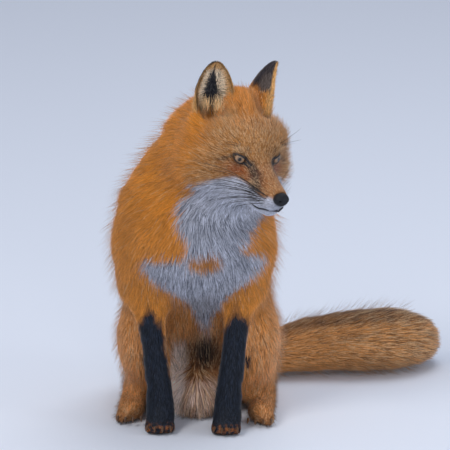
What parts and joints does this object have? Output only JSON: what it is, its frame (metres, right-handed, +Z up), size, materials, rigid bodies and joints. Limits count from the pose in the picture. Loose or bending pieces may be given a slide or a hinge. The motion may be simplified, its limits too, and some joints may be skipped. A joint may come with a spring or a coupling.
{
  "type": "red fox",
  "caption": "Life-size still model of a red fox in its winter coat, sitting upright with its head turned to its left and its brush laid out beside its haunch.",
  "frame": {"origin": "middle of the bounding box, at floor level", "axes": "+Z up, the fox's chest faces -Y, +X towards the fox's left side and the tip of its tail"},
  "size_m": [0.4436, 0.501, 0.5151],
  "materials": {
    "coat": "long soft orange fur",
    "dark_coat": "short soft blue-black fur",
    "eye": "wet amber eye with a dark pupil",
    "nose": "moist black nose leather",
    "claw": "brown horn"
  },
  "bodies": {
    "root": {"head": "coat", "neck": "coat", "trunk": "coat", "hindleg_right": "coat", "hindleg_left": "coat", "tail_root": "coat", "tail_middle": "coat", "tail_tip": "coat", "foreleg_right": "dark_coat", "foreleg_left": "dark_coat", "ear_right": "dark_coat", "ear_left": "dark_coat", "eye_right": "eye", "eye_left": "eye", "nose": "nose", "claw_foreleg_right_1": "claw", "claw_foreleg_right_2": "claw", "claw_foreleg_right_3": "claw", "claw_foreleg_right_4": "claw", "claw_foreleg_left_1": "claw", "claw_foreleg_left_2": "claw", "claw_foreleg_left_3": "claw", "claw_foreleg_left_4": "claw", "claw_hindleg_right_1": "claw", "claw_hindleg_right_2": "claw", "claw_hindleg_right_3": "claw", "claw_hindleg_right_4": "claw", "claw_hindleg_left_1": "claw", "claw_hindleg_left_2": "claw", "claw_hindleg_left_3": "claw", "claw_hindleg_left_4": "claw"}
  },
  "joints": []
}
